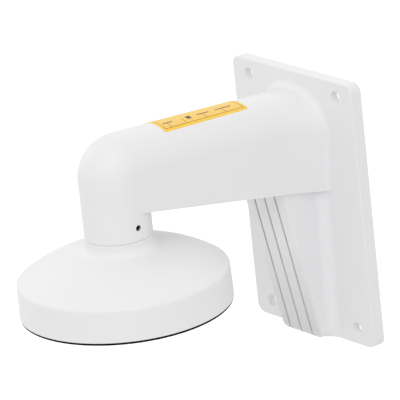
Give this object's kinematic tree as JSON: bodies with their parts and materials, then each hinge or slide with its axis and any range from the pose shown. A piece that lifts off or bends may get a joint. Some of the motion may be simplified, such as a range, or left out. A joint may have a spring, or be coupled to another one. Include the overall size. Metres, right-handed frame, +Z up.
{
  "type": "camera wall bracket",
  "caption": "Cast aluminium wall bracket for a dome camera: plate, web and hollow arm in one casting, with a round cap screwed up into the neck.",
  "frame": {"origin": "centre of the four wall holes, on the wall's surface", "axes": "+Z up the wall, +Y into the wall, +X to the right seen from the room; the arm points along -Y"},
  "size_m": [0.1404, 0.2324, 0.184],
  "materials": {
    "casting": "satin powder coat",
    "cap": "satin powder coat",
    "rim_rubber": "matte",
    "ring_rubber": "matte",
    "screw_steel": "black oxide",
    "sticker_film": "amber printed film"
  },
  "bodies": {
    "root": {"wall_bracket": "casting", "camera_cap": "cap", "rim_seal": "rim_rubber", "neck_seal": "ring_rubber", "set_screw": "screw_steel", "arm_sticker": "sticker_film"}
  },
  "joints": []
}
